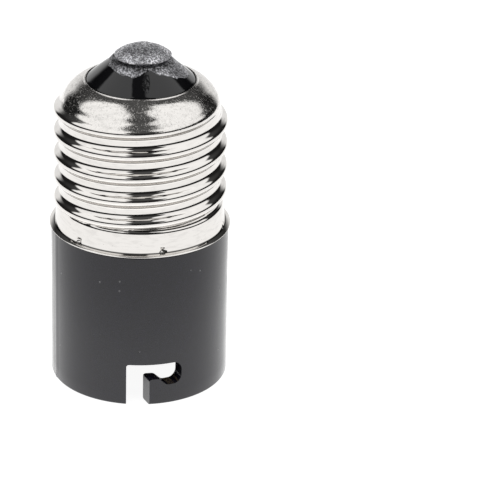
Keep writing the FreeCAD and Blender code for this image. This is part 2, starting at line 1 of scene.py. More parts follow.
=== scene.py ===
"""Looks of the lamp adapter: rolled shell, moulded body, glass nose, solder and stage.

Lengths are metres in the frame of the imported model, which stands on its mouth rim with
+Z towards the centre contact and -Y through the first bayonet slot.
"""

import json
import math

import bmesh
import bpy
from bpy.props import FloatProperty, FloatVectorProperty, IntProperty, PointerProperty
from mathutils import Matrix, Vector


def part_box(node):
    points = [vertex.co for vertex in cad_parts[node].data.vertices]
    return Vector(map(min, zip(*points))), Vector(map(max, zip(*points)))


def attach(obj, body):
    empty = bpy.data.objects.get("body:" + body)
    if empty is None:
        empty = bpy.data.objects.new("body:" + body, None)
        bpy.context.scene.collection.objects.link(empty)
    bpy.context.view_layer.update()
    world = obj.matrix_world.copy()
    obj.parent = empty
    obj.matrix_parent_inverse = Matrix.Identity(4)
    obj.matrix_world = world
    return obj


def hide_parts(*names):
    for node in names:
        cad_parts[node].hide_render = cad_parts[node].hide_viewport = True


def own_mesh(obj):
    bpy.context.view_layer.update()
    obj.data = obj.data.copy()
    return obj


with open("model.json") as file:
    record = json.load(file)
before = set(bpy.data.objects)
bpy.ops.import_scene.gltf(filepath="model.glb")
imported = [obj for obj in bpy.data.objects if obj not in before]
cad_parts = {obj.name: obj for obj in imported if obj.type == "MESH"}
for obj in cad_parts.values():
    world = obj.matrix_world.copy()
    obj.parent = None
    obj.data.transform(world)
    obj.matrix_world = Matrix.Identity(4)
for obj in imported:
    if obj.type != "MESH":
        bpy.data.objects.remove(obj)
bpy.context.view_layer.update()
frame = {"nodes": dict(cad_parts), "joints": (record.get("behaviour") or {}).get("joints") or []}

bl_info = {
    "name": "Lamp Adapter Looks",
    "version": (1, 0, 0),
    "blender": (4, 5, 0),
    "location": "View3D > Sidebar > Adapter",
    "description": "Meshes, finishes and stage of a bayonet to screw cap lamp adapter",
    "category": "Object",
}

MM = 0.001
TURN = 2 * math.pi

# Places that the frame gives
BODY_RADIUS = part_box("housing")[1].x
RIM_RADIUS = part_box("screw_shell")[1].x
SHOULDER_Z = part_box("screw_shell")[0].z
OPENING_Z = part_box("screw_shell")[1].z
GLASS_FOOT_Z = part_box("glass_insulator")[0].z
GLASS_TOP_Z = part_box("glass_insulator")[1].z
SOLDER_TOP_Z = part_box("centre_solder")[1].z
LINER_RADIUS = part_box("glass_insulator")[1].x


# Sizes and colours that a user may change
class ShellSizes(bpy.types.PropertyGroup):
    """Rolled screw shell"""

    sheet: FloatProperty(
        name="Sheet", description="Thickness of the rolled sheet",
        default=0.28 * MM, subtype="DISTANCE", unit="LENGTH")
    pitch: FloatProperty(
        name="Pitch", description="Rise of the thread in one turn",
        default=3.629 * MM, subtype="DISTANCE", unit="LENGTH")
    first_crest: FloatProperty(
        name="First crest", description="Height of the thread's start above the shoulder",
        default=2.3 * MM, subtype="DISTANCE", unit="LENGTH")
    crest_radius: FloatProperty(
        name="Crest radius", description="Radius over the crests",
        default=13.075 * MM, subtype="DISTANCE", unit="LENGTH")
    root_radius: FloatProperty(
        name="Root radius", description="Radius in the grooves",
        default=11.95 * MM, subtype="DISTANCE", unit="LENGTH")
    stakes: IntProperty(
        name="Stakes", description="Punch marks round the foot of the band", default=6)
    colour: FloatVectorProperty(
        name="Nickel", description="Colour of the nickel plate", subtype="COLOR",
        default=(0.70, 0.68, 0.655))


class BodySizes(bpy.types.PropertyGroup):
    """Moulded body"""

    edge: FloatProperty(
        name="Edge radius", description="Rounding of the moulded edges",
        default=0.22 * MM, subtype="DISTANCE", unit="LENGTH")
    parting: FloatProperty(
        name="Parting line", description="Height of the line that the mould left",
        default=0.09 * MM, subtype="DISTANCE", unit="LENGTH")
    colour: FloatVectorProperty(
        name="Plastic", description="Colour of the moulding", subtype="COLOR",
        default=(0.0115, 0.0102, 0.0195))


class NoseSizes(bpy.types.PropertyGroup):
    """Glass nose and its solder"""

    disc_radius: FloatProperty(
        name="Solder radius", description="Radius of the solder's button",
        default=4.24 * MM, subtype="DISTANCE", unit="LENGTH")
    film: FloatProperty(
        name="Solder run", description="Thickness of the solder run out on the glass",
        default=0.2 * MM, subtype="DISTANCE", unit="LENGTH")
    glass_colour: FloatVectorProperty(
        name="Glass", description="Colour of the black glass", subtype="COLOR",
        default=(0.004, 0.004, 0.005))
    solder_colour: FloatVectorProperty(
        name="Solder", description="Colour of the dull solder", subtype="COLOR",
        default=(0.42, 0.42, 0.44))


class ContactSizes(bpy.types.PropertyGroup):
    """Spring contacts"""

    wire: FloatProperty(
        name="Wire", description="Thickness of the spring's round wire",
        default=0.5 * MM, subtype="DISTANCE", unit="LENGTH")
    brass_colour: FloatVectorProperty(
        name="Brass", description="Colour of the turned brass", subtype="COLOR",
        default=(0.80, 0.62, 0.33))


class StageSizes(bpy.types.PropertyGroup):
    """Stage and camera"""

    distance: FloatProperty(
        name="Distance", description="From the camera to the middle of the adapter",
        default=480 * MM, subtype="DISTANCE", unit="LENGTH")
    elevation: FloatProperty(
        name="Elevation", description="Angle of the camera above the horizon",
        default=math.radians(24.5), subtype="ANGLE", unit="ROTATION")


# Shader maths
class Wire:
    """A shader socket that Python's operators work on."""

    def __init__(self, tree, socket):
        self.tree = tree
        self.socket = socket

    def maths(self, operation, other=None, third=None):
        inputs = [value for value in (self, other, third) if value is not None]
        return self.tree.node("ShaderNodeMath", {"operation": operation},
                              dict(enumerate(inputs)))

    def __add__(self, other):
        return self.maths("ADD", other)

    def __sub__(self, other):
        return self.maths("SUBTRACT", other)

    def __mul__(self, other):
        return self.maths("MULTIPLY", other)

    def __rsub__(self, other):
        return self.tree.node("ShaderNodeMath", {"operation": "SUBTRACT"}, {0: other, 1: self})

    __radd__ = __add__
    __rmul__ = __mul__

    def ramp(self, low, high, start=0.0, end=1.0):
        """Smooth step from start to end while the value goes from low to high."""
        return self.tree.node(
            "ShaderNodeMapRange", {"interpolation_type": "SMOOTHSTEP"},
            {"Value": self, "From Min": low, "From Max": high, "To Min": start, "To Max": end})


class Tree:
    """Node tree of a material or a world, emptied and ready for new nodes."""

    def __init__(self, owner):
        owner.use_nodes = True
        self.nodes = owner.node_tree.nodes
        self.links = owner.node_tree.links
        self.nodes.clear()

    def node(self, kind, settings=None, inputs=None, output=0):
        """Any node: its settings are set first, then its sockets get values or links."""
        made = self.nodes.new(kind)
        for name, value in (settings or {}).items():
            setattr(made, name, value)
        for name, value in (inputs or {}).items():
            if isinstance(value, Wire):
                self.links.new(value.socket, made.inputs[name])
            else:
                made.inputs[name].default_value = value
        if not made.outputs:
            return None
        return Wire(self, made.outputs[output])

    def place(self, scale=(1, 1, 1)):
        """Object coordinates in millimetres, stretched by a scale."""
        here = self.node("ShaderNodeTexCoord", output="Object")
        return self.node("ShaderNodeMapping", {"vector_type": "POINT"},
                         {"Vector": here, "Scale": [part / MM for part in scale]})

    def noise(self, size, detail=3.0, stretch=(1, 1, 1), **more):
        """Noise with grains of about this size in millimetres, from 0 to 1."""
        inputs = {"Vector": self.place(stretch), "Scale": 1 / size, "Detail": detail, **more}
        return self.node("ShaderNodeTexNoise", None, inputs)

    def specks(self, size, share):
        """Mask of small round specks, on about this share of cells of a size."""
        cells = {"Vector": self.place(), "Scale": 1 / size}
        near = self.node("ShaderNodeTexVoronoi", None, cells)
        tint = self.node("ShaderNodeTexVoronoi", None, cells, output="Color")
        pick = self.node("ShaderNodeSeparateColor", None, {"Color": tint})
        return near.ramp(0.06, 0.14, 1.0, 0.0) * pick.maths("LESS_THAN", share)

    def length(self, vector):
        return self.node("ShaderNodeVectorMath", {"operation": "LENGTH"}, {0: vector}, "Value")

    def mix(self, factor, first, second):
        """Blend of two colours."""
        return self.node("ShaderNodeMix", {"data_type": "RGBA"},
                         {"Factor": factor, "A": first, "B": second}, "Result")

    def bump(self, height, strength, distance, normal=None):
        inputs = {"Height": height, "Strength": strength, "Distance": distance}
        if normal is not None:
            inputs["Normal"] = normal
        return self.node("ShaderNodeBump", None, inputs)

    def surface(self, **inputs):
        """Principled shader on the output; names are its sockets with _ for a space."""
        named = {name.replace("_", " "): value for name, value in inputs.items()}
        shader = self.node("ShaderNodeBsdfPrincipled", None, named)
        self.node("ShaderNodeOutputMaterial", None, {"Surface": shader})


def rgba(colour, light=1.0):
    return (colour[0] * light, colour[1] * light, colour[2] * light, 1.0)


def new_material(name):
    material = bpy.data.materials.new(name)
    return material, Tree(material)


# Finishes
def nickel_finish():
    """Bright nickel on rolled sheet: mirror on the thread, pitted and rubbed on the dome, with
    painted shade in the crease at the band's foot.
    """
    material, tree = new_material("bright_nickel")
    colour = bpy.context.scene.adapter_shell.colour
    height = tree.node("ShaderNodeSeparateXYZ", None, {"Vector": tree.place()}, "Z")
    worn = height.ramp(DOME_FOOT_Z / MM + 0.4, DOME_FOOT_Z / MM + 1.6)
    grain = tree.noise(0.16, 3.0)
    rub = tree.noise(1.6, 4.0, (1, 1, 4))
    dark_pits = tree.specks(0.7, 0.35) * (worn * 0.6 + 0.3)
    light_pits = tree.noise(0.3, 4.0).ramp(0.54, 0.62) * worn
    stained = tree.mix(rub.ramp(0.45, 0.7) * 0.5, rgba(colour, 1.05), rgba(colour, 0.86))
    blotted = tree.mix(worn * tree.noise(0.45, 5.0).ramp(0.52, 0.66) * 0.25, stained,
                       rgba(colour, 0.45))
    pitted = tree.mix(dark_pits, blotted, rgba(colour, 0.25))
    # Painted shade: a dark line in the colour along the crease at the band's foot
    foot = height - CREASE_Z / MM
    painted_crease_shade = foot.ramp(-0.06, -0.02) * foot.ramp(0.08, 0.16, 1.0, 0.0)
    dark = tree.mix(painted_crease_shade * 0.9, pitted, rgba(colour, 0.08))
    rough = 0.035 + worn * grain.ramp(0.4, 0.7, 0.02, 0.15) + light_pits * 0.22
    ripple = tree.bump(rub, worn * 0.3, 0.05 * MM)
    hammered = tree.bump(tree.noise(0.5, 2.0), worn * 0.4, 0.012 * MM, ripple)
    normal = tree.bump(grain, worn * 0.7 + 0.08, 0.01 * MM, hammered)
    tree.surface(Base_Color=dark, Metallic=1.0, Roughness=rough, Normal=normal)
    return material


def plastic_finish():
    """Satin black moulding with dust and faint scuffs."""
    material, tree = new_material("satin_black_moulding")
    colour = bpy.context.scene.adapter_body.colour
    cloud = tree.noise(4.0, 4.0)
    grain = tree.noise(0.16, 2.0)
    scuff = tree.noise(0.9, 5.0, (1, 1, 0.35))
    dust = tree.specks(1.5, 0.16)
    mottle = tree.noise(0.6, 6.0).ramp(0.35, 0.65)
    mottled = tree.mix(mottle, rgba(colour, 0.75), rgba(colour, 1.2))
    worn = tree.mix(scuff.ramp(0.54, 0.75) * 0.5, mottled, rgba(colour, 1.8))
    dusty = tree.mix(dust * 0.5, worn, (0.55, 0.55, 0.56, 1.0))
    rough = cloud.ramp(0.3, 0.7, 0.13, 0.2) + scuff.ramp(0.55, 0.8) * 0.1 + dust * 0.3
    wavy = tree.bump(cloud, 0.3, 0.05 * MM)
    normal = tree.bump(grain, 0.7, 0.008 * MM, wavy)
    tree.surface(Base_Color=dusty, Roughness=rough, Normal=normal, IOR=1.5)
    return material


def glass_finish():
    """Glossy black glass with a few drops of dried flux."""
    material, tree = new_material("black_glass")
    colour = bpy.context.scene.adapter_nose.glass_colour
    ripple = tree.noise(1.8, 2.0)
    flux = tree.noise(0.5, 5.0, (1.6, 1.6, 0.6))
    apart = tree.node("ShaderNodeVectorMath", {"operation": "DISTANCE"}, {
        0: tree.place(FLUX_STRETCH),
        1: [part * scale / MM for part, scale in zip(FLUX_PLACE, FLUX_STRETCH)]}, "Value")
    drops = apart.ramp(1.0, 1.5, 1.0, 0.0) * flux.ramp(0.46, 0.49)
    stain = tree.noise(0.7, 4.0).ramp(0.64, 0.72)
    shade = tree.mix(stain * 0.2, rgba(colour), (0.02, 0.02, 0.022, 1.0))
    rough = 0.03 + stain * 0.12 + ripple.ramp(0.3, 0.8, 0.0, 0.03) + drops * 0.95
    normal = tree.bump(tree.noise(0.4, 3.0), 0.1, 0.01 * MM, tree.bump(ripple, 0.5, 0.03 * MM))
    tree.surface(Base_Color=shade, Roughness=rough, Normal=normal, IOR=1.5)
    return material


def solder_finish(name, light, shaded):
    """Dull solder, mottled and pitted, made lighter by a painted light factor; the run gets
    painted shade where the button overhangs it.
    """
    material, tree = new_material(name)
    colour = bpy.context.scene.adapter_nose.solder_colour
    mottle = tree.noise(0.27, 6.0)
    swirl = tree.noise(0.6, 5.0, Distortion=2.2)
    pits = tree.specks(0.42, 0.4)
    shade = mottle.ramp(0.4, 0.6)
    # The light factor is painted light: it makes one copy of the solder lighter than another
    pale = tree.mix(shade, rgba(colour, 0.34 * light), rgba(colour, 1.5 * light))
    streaked = tree.mix(swirl.ramp(0.5, 0.6) * 0.75, pale, rgba(colour, 0.25 * light))
    dark = tree.mix(pits * 0.7, streaked, rgba(colour, 0.12))
    # Painted shade: the run is darkened round the button's foot, where the button overhangs it,
    # and broken up by the mottle
    if shaded:
        flat = tree.node("ShaderNodeVectorMath", {"operation": "MULTIPLY"}, {
            0: tree.place(), 1: (1, 1, 0)})
        out = tree.length(flat)
        painted_button_shade = out.ramp(4.6, 5.05, 1.0, 0.0) * mottle.ramp(0.42, 0.52, 1.0, 0.5)
        dark = tree.mix(painted_button_shade * 0.9, dark, rgba(colour, 0.04))
    rough = shade * -0.14 + 0.5 + pits * 0.2
    height = mottle * 0.6 + swirl * 0.5 - pits * 0.5
    normal = tree.bump(height, 0.9, 0.06 * MM)
    tree.surface(Base_Color=dark, Metallic=0.75, Roughness=rough, Normal=normal)
    return material


def brass_finish(name, colour, low, high):
    """Turned or drawn metal with fine rings and a little tarnish."""
    material, tree = new_material(name)
    rings = tree.noise(0.1, 2.0, (0.12, 0.12, 1))
    tarnish = tree.noise(1.1, 4.0)
    shade = tree.mix(tarnish.ramp(0.45, 0.75) * 0.5, rgba(colour), rgba(colour, 0.6))
    rough = tarnish.ramp(0.35, 0.75, low, high)
    normal = tree.bump(rings, 0.3, 0.005 * MM)
    tree.surface(Base_Color=shade, Metallic=1.0, Roughness=rough, Normal=normal)
    return material


def fibre_finish():
    """Brown pressed fibre board."""
    material, tree = new_material("brown_fibre")
    fibres = tree.noise(0.5, 6.0, (1, 0.25, 1))
    shade = tree.mix(fibres.ramp(0.35, 0.65), (0.12, 0.055, 0.025, 1.0),
                     (0.21, 0.11, 0.055, 1.0))
    tree.surface(Base_Color=shade, Roughness=fibres.ramp(0.3, 0.7, 0.6, 0.75),
                 Normal=tree.bump(fibres, 0.4, 0.03 * MM))
    return material


# Mesh helpers
def finish_piece(bm, name, material, body, replaced=(), flat_angle=None):
    """Turn a bmesh into a piece of the object that rides on a body."""
    mesh = bpy.data.meshes.new(name)
    bm.to_mesh(mesh)
    bm.free()
    mesh.materials.append(material)
    piece = bpy.data.objects.new(name, mesh)
    bpy.context.scene.collection.objects.link(piece)
    if flat_angle is None:
        mesh.shade_smooth()
    else:
        mesh.set_sharp_from_angle(angle=math.radians(flat_angle))
    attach(piece, body)
    if replaced:
        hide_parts(*replaced)
    return piece


def lathe(profile, steps, offset=(0.0, 0.0)):
    """Closed skin made by spinning (radius, height) points about the Z axis."""
    bm = bmesh.new()
    verts = [bm.verts.new((radius, 0, height)) for radius, height in profile]
    edges = [bm.edges.new(pair) for pair in zip(verts, verts[1:])]
    bmesh.ops.spin(bm, geom=verts + edges, cent=(0, 0, 0), axis=(0, 0, 1), angle=TURN,
                   steps=steps, use_merge=True)
    bmesh.ops.remove_doubles(bm, verts=bm.verts, dist=0.001 * MM)
    bmesh.ops.recalc_face_normals(bm, faces=bm.faces)
    bmesh.ops.translate(bm, verts=bm.verts, vec=(offset[0], offset[1], 0))
    return bm


def smooth(share):
    """Smooth step from 0 to 1 for a share from 0 to 1."""
    return share * share * (3 - 2 * share)


def half_wave(share):
    """Half a cosine wave that rises from 0 to 1."""
    return (1 - math.cos(math.pi * share)) / 2


def arc(centre, radius, start, end, count):
    """Points of an arc in (radius, height), angles in degrees."""
    points = []
    for index in range(count + 1):
        angle = math.radians(start + (end - start) * index / count)
        points.append((centre[0] + radius * math.cos(angle),
                       centre[1] + radius * math.sin(angle)))
    return points


# Screw shell
DOME_FOOT_Z = SHOULDER_Z + 18.7 * MM
DOME_RUN = 3.7 * MM
DOME_HEIGHT = 4.5 * MM
DOME_RADIUS = (DOME_RUN ** 2 + DOME_HEIGHT ** 2) / (2 * DOME_RUN)
DOME_STOP = 3.2  # degrees that the dome's arc leaves to the bead
BAND_FOOT = BODY_RADIUS - 0.5 * MM
BAND_TOP = BODY_RADIUS - 0.9 * MM
CREASE_Z = SHOULDER_Z + 0.39 * MM
BAND_Z = SHOULDER_Z + 3.55 * MM
CONE_Z = BAND_Z + 0.6 * MM
# Skirt in mm, as (in from the rim, up from the shoulder), then as (out, up) from the crease
RIM_POINTS = [(0.06, 0.0), (0.0, 0.06), (0.0, 0.13), (0.07, 0.2)]
CREASE_POINTS = [(0.3, -0.1), (0.16, -0.04), (0.0, 0.0)]
BAND_ROWS = 14
THREAD_ROWS = 110
SHELL_STEPS = 288
LIP = 0.12 * MM
# Fades of the thread are shares of a turn
START_FADE = 0.5
END_FADE = 0.3
THREAD_OVERRUN = 1.93 * MM
CREST_BEND = 0.76 * MM
ROOT_BEND = 1.0 * MM
GROOVE_RISE = 0.1 * MM
GROOVE_REACH = 2 * MM
STAKE_BEARING = math.radians(15.4 - 90)
STAKE_Z = SHOULDER_Z + 0.86 * MM
STAKE_RADIUS = 0.36 * MM
STAKE_DEPTH = 0.45 * MM


def base_profile(root):
    """Outline of the shell with no thread, from the skirt up to the opening."""
    points = [(RIM_RADIUS - inward * MM, SHOULDER_Z + up * MM) for inward, up in RIM_POINTS]
    points += [(BAND_FOOT + out * MM, CREASE_Z + up * MM) for out, up in CREASE_POINTS]
    for row in range(1, BAND_ROWS + 1):
        share = row / BAND_ROWS
        points.append((BAND_FOOT + (BAND_TOP - BAND_FOOT) * share,
                       CREASE_Z + (BAND_Z - CREASE_Z) * share))
    for row in range(1, THREAD_ROWS + 1):
        height = BAND_Z + (DOME_FOOT_Z - BAND_Z) * row / THREAD_ROWS
        cone = smooth(min(1.0, (height - BAND_Z) / (CONE_Z - BAND_Z)))
        points.append((BAND_TOP + (root - BAND_TOP) * cone, height))
    steep = math.degrees(math.asin(DOME_HEIGHT / DOME_RADIUS))
    dome = arc((root - DOME_RADIUS, DOME_FOOT_Z), DOME_RADIUS, 0, steep - DOME_STOP, 30)
    bead = (root - DOME_RUN + LIP, OPENING_Z - LIP / 2)
    return points + dome[1:] + arc(bead, LIP, 10, 180, 10)


def thread_lift(height, angle, sizes):
    """How far the rolled thread stands out of the shell at a height and a bearing."""
    base = SHOULDER_Z + sizes.first_crest
    turns = (DOME_FOOT_Z - base + THREAD_OVERRUN) / sizes.pitch
    depth = sizes.crest_radius - sizes.root_radius
    best = 0.0
    for whole in range(-1, math.ceil(turns) + 1):
        turn = whole + angle / TURN
        if not 0 < turn < turns:
            continue
        rise = min(1.0, turn / START_FADE, (turns - turn) / END_FADE)
        away = abs(height - base - sizes.pitch * turn)
        best = max(best, half_wave(rise) * crest_lift(away, depth))
    return best


def crest_lift(away, depth):
    """Section of the thread: a tight crest and a wider groove that meet on a tangent."""
    steep = math.acos(1 - (depth - GROOVE_RISE) / (CREST_BEND + ROOT_BEND))
    if away < CREST_BEND * math.sin(steep):
        return depth - CREST_BEND + math.sqrt(CREST_BEND ** 2 - away ** 2)
    left = (CREST_BEND + ROOT_BEND) * math.sin(steep) - away
    if left > 0:
        return GROOVE_RISE + ROOT_BEND - math.sqrt(ROOT_BEND ** 2 - left ** 2)
    return GROOVE_RISE * max(0.0, 1 - (left / GROOVE_REACH) ** 2)


class ADAPTER_OT_shell(bpy.types.Operator):
    """Make the rolled screw shell with its thread, stakes and real sheet"""

    bl_idname = "adapter.shell"
    bl_label = "Screw Shell"

    def execute(self, context):
        sizes = context.scene.adapter_shell
        bm = lathe(base_profile(sizes.root_radius), SHELL_STEPS)
        for vert in bm.verts:
            angle = math.atan2(vert.co.y, vert.co.x) % TURN
            radius = math.hypot(vert.co.x, vert.co.y)
            lift = thread_lift(vert.co.z, angle, sizes)
            if vert.co.z < CONE_Z:
                lift = max(0.0, lift - (radius - sizes.root_radius))
            grown = 1 + (lift - self.stake_dent(sizes, angle, vert.co.z)) / radius
            vert.co.x *= grown
            vert.co.y *= grown
        shell = finish_piece(bm, "rolled_shell", nickel_finish(), "adapter",
                             ["screw_shell"], flat_angle=42)
        wall = shell.modifiers.new("wall", "SOLIDIFY")
        wall.thickness = sizes.sheet
        wall.offset = -1.0
        wall.use_rim = True
        lip = shell.modifiers.new("lip", "BEVEL")
        lip.width = 0.08 * MM
        lip.segments = 2
        lip.limit_method = "ANGLE"
        lip.angle_limit = math.radians(60)
        return {"FINISHED"}

    def stake_dent(self, sizes, angle, height):
        """Depth of the punch marks at a place on the band."""
        step = TURN / sizes.stakes
        aside = ((angle - STAKE_BEARING + step / 2) % step - step / 2) * BAND_FOOT
        away = math.hypot(aside, height - STAKE_Z) / STAKE_RADIUS
        return STAKE_DEPTH * max(0.0, 1 - away ** 3)


# Moulded body
NECK_RADIUS = 9.9 * MM
SEAT_RADIUS = BAND_FOOT - 0.45 * MM
CHAMFER = 0.15 * MM
TOP_ROW = 0.25 * MM  # keeps the shading of the chamfer off the body's side
MOUTH_EDGE = 0.3 * MM
MOUTH_RADIUS = 11.15 * MM
RELIEF_RADIUS = 11.5 * MM
RELIEF_Z = 9.2 * MM
RELIEF_SLOPE = 0.35 * MM
FLOOR_EDGE = 0.3 * MM
FLOOR_Z = 14.0 * MM
DECK_Z = 16.5 * MM
BODY_ROWS = 12
BODY_STEPS = 160
PARTING_BEARING = math.radians(-159.7)
SEAT_BEARING = math.radians(24)
PLUNGER_FLANGE = 3.2 * MM
CONTACT_OUT = (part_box("plunger_a")[1].x - PLUNGER_FLANGE) / math.cos(SEAT_BEARING)
GUIDE_RADIUS = 2.45 * MM
SLOT_DEPTH = BODY_RADIUS * 1.2


def slot_outline():
    """Bayonet slot seen along its cut, as (across, up) points round its edge."""
    left = -7.16 * MM
    right = -3.96 * MM
    corner = 0.4 * MM
    hook = 1.4 * MM
    floor = 3.15 * MM
    tongue = 4.25 * MM
    top = 6.75 * MM
    reach = 1.1 * MM
    points = [(left, -1 * MM), (right, -1 * MM)]
    points += arc((right + corner, tongue - corner), corner, 180, 90, 6)
    slope_start = right + 1.2 * MM
    slope_end = right + 2.9 * MM
    for step in range(9):
        share = step / 8
        points.append((slope_start + (slope_end - slope_start) * share,
                       tongue + (floor - tongue) * half_wave(share)))
    points += arc((reach - hook, floor + hook), hook, -90, 0, 8)[1:]
    points += arc((reach - hook, top - hook), hook, 0, 90, 8)
    points += arc((left + corner, top - corner), corner, 90, 180, 6)
    return points


class ADAPTER_OT_body(bpy.types.Operator):
    """Make the moulded body with its bayonet slots, floor and parting line"""

    bl_idname = "adapter.body"
    bl_label = "Moulded Body"

    def execute(self, context):
        sizes = context.scene.adapter_body
        edge = MOUTH_EDGE
        profile = [(0, DECK_Z), (NECK_RADIUS, DECK_Z), (NECK_RADIUS, SHOULDER_Z),
                   (SEAT_RADIUS, SHOULDER_Z), (BODY_RADIUS - CHAMFER, SHOULDER_Z),
                   (BODY_RADIUS, SHOULDER_Z - CHAMFER), (BODY_RADIUS, SHOULDER_Z - TOP_ROW)]
        for row in range(1, BODY_ROWS):
            height = SHOULDER_Z + (edge - SHOULDER_Z) * row / BODY_ROWS
            profile.append((BODY_RADIUS, height))
        profile += arc((BODY_RADIUS - edge, edge), edge, 0, -90, 4)
        profile += arc((MOUTH_RADIUS + edge, edge), edge, -90, -180, 4)
        profile += [(MOUTH_RADIUS, RELIEF_Z), (RELIEF_RADIUS, RELIEF_Z + RELIEF_SLOPE),
                    (RELIEF_RADIUS, FLOOR_Z - FLOOR_EDGE)]
        profile += arc((RELIEF_RADIUS - FLOOR_EDGE, FLOOR_Z - FLOOR_EDGE), FLOOR_EDGE,
                       0, 90, 4)[1:]
        profile.append((0, FLOOR_Z))
        bm = lathe(profile, BODY_STEPS)
        self.raise_parting(bm, sizes.parting)
        body = finish_piece(bm, "moulded_body", plastic_finish(), "adapter",
                            ["housing"])
        for name, cutter in self.cutters():
            self.cut(body, name, cutter)
        soften = body.modifiers.new("edges", "BEVEL")
        soften.width = sizes.edge
        soften.segments = 3
        soften.limit_method = "ANGLE"
        soften.angle_limit = math.radians(50)
        soften.harden_normals = True
        return {"FINISHED"}

    def raise_parting(self, bm, rise):
        """Fine upright line on both sides where the mould halves met."""
        near = TURN / BODY_STEPS / 2 * 1.05  # takes in one row of points, or two
        for vert in bm.verts:
            radius = math.hypot(vert.co.x, vert.co.y)
            if radius < BODY_RADIUS - 0.01 * MM:
                continue
            angle = math.atan2(vert.co.y, vert.co.x)
            apart = (angle - PARTING_BEARING + math.pi / 2) % math.pi - math.pi / 2
            if abs(apart) < near:
                vert.co.x *= 1 + rise / radius
                vert.co.y *= 1 + rise / radius

    def cutters(self):
        """Meshes of the two slots and the two guides for the contacts."""
        for side in range(2):
            bm = bmesh.new()
            verts = [bm.verts.new((across, 0, up)) for across, up in slot_outline()]
            face = bm.faces.new(verts)
            made = bmesh.ops.extrude_face_region(bm, geom=[face])
            moved = [item for item in made["geom"] if isinstance(item, bmesh.types.BMVert)]
            bmesh.ops.translate(bm, verts=moved, vec=(0, -SLOT_DEPTH, 0))
            bmesh.ops.recalc_face_normals(bm, faces=bm.faces)
            bmesh.ops.rotate(bm, verts=bm.verts, cent=(0, 0, 0),
                             matrix=Matrix.Rotation(SEAT_BEARING + math.pi * side, 3, "Z"))
            yield "slot", bm
        for side in (1, -1):
            bm = bmesh.new()
            bmesh.ops.create_cone(bm, cap_ends=True, segments=64, radius1=GUIDE_RADIUS,
                                  radius2=GUIDE_RADIUS, depth=DECK_Z - FLOOR_Z + 2 * MM)
            bmesh.ops.translate(bm, verts=bm.verts, vec=(
                side * CONTACT_OUT * math.cos(SEAT_BEARING),
                side * CONTACT_OUT * math.sin(SEAT_BEARING), (DECK_Z + FLOOR_Z) / 2))
            yield "guide", bm

    def cut(self, body, name, bm):
        """Take a cutter's shape out of the body and keep the result as its mesh."""
        mesh = bpy.data.meshes.new(name)
        bm.to_mesh(mesh)
        bm.free()
        cutter = bpy.data.objects.new(name, mesh)
        bpy.context.scene.collection.objects.link(cutter)
        modifier = body.modifiers.new(name, "BOOLEAN")
        modifier.operation = "DIFFERENCE"
        modifier.solver = "EXACT"
        modifier.object = cutter
        graph = bpy.context.evaluated_depsgraph_get()
        result = bpy.data.meshes.new_from_object(body.evaluated_get(graph))
        body.modifiers.remove(modifier)
        body.data = result
        bpy.data.objects.remove(cutter)


# Glass nose, solder and contacts
GLASS_EDGE = 8.2 * MM
GLASS_RIM = 4.35 * MM
GLASS_ROUND = 0.1 * MM
GLASS_BULGE = 0.1 * MM
GLASS_UNDER_DOME = 0.4 * MM
GLASS_ROWS = 12
RUN_HIDDEN = 2.0 * MM  # radius where the run begins, under the button
RUN_UNDER = 0.15 * MM
RUN_ROUND = 0.3 * MM
RUN_SINK = 0.02 * MM
RUN_WOBBLE = 0.05 * MM
RUN_LUMP = 0.04 * MM
RUN_ROWS = 26
RUN_STEPS = 240
BUTTON_SHIFT = 0.28 * MM
BUTTON_LIFT = 0.1 * MM
BUTTON_INSET = 0.75 * MM
BUTTON_OVERHANG = 0.6 * MM
BUTTON_RISE = 0.1 * MM
BUTTON_DIP = 0.04 * MM
BUTTON_CROWN = 2.7
BUTTON_ROWS = 24
# Rim of the button in mm, as (in from the edge, up from the rim's underside)
BUTTON_RIM = [(0.06, 0.0), (0.0, 0.06), (0.0, 0.14), (0.05, 0.2)]
FLUX_PLACE = (0.8 * MM, -6.1 * MM, 49.5 * MM)
FLUX_STRETCH = (2.4, 0.75, 0.75)


def glass_height(out):
    """Height of the glass at a distance from the axis."""
    slope = (GLASS_TOP_Z - OPENING_Z) / (GLASS_EDGE - GLASS_RIM)
    return min(OPENING_Z + (GLASS_EDGE - out) * slope, GLASS_TOP_Z)


class ADAPTER_OT_glass(bpy.types.Operator):
    """Make the black glass nose"""

    bl_idname = "adapter.glass"
    bl_label = "Glass Nose"

    def execute(self, context):
        profile = [(0, GLASS_FOOT_Z), (LINER_RADIUS, GLASS_FOOT_Z), (LINER_RADIUS, DOME_FOOT_Z)]
        inner = DOME_RADIUS - GLASS_UNDER_DOME
        reach = math.degrees(math.acos((GLASS_EDGE - LINER_RADIUS + inner) / inner))
        profile += arc((LINER_RADIUS - inner, DOME_FOOT_Z), inner, 0, reach, 16)[1:]
        for row in range(GLASS_ROWS):
            out = GLASS_EDGE + (GLASS_RIM + 2 * GLASS_ROUND - GLASS_EDGE) * row / GLASS_ROWS
            bulge = GLASS_BULGE * math.sin(math.pi * row / GLASS_ROWS)
            profile.append((out + bulge / 2, glass_height(out) + bulge / 2))
        profile += [(GLASS_RIM + GLASS_ROUND, GLASS_TOP_Z - GLASS_ROUND),
                    (GLASS_RIM - GLASS_ROUND, GLASS_TOP_Z), (0, GLASS_TOP_Z)]
        bm = lathe(profile, 160)
        finish_piece(bm, "glass_nose", glass_finish(), "adapter",
                     ["glass_insulator"], flat_angle=50)
        return {"FINISHED"}


# How far the solder ran out on the glass: (bearing in degrees, reach in mm)
RUN_REACH = [
    (-170, 4.75), (-160, 5.05), (-147, 5.15), (-130, 5.35), (-113, 5.55), (-103, 5.6),
    (-93, 5.3), (-84, 4.85), (-78, 4.65), (-71, 4.85), (-59, 5.35), (-45, 6.0), (-33, 6.55),
    (-17, 7.15), (-5, 7.35), (5, 6.7), (14, 5.8), (28, 5.0), (70, 4.9), (110, 5.0),
    (150, 4.8),
]


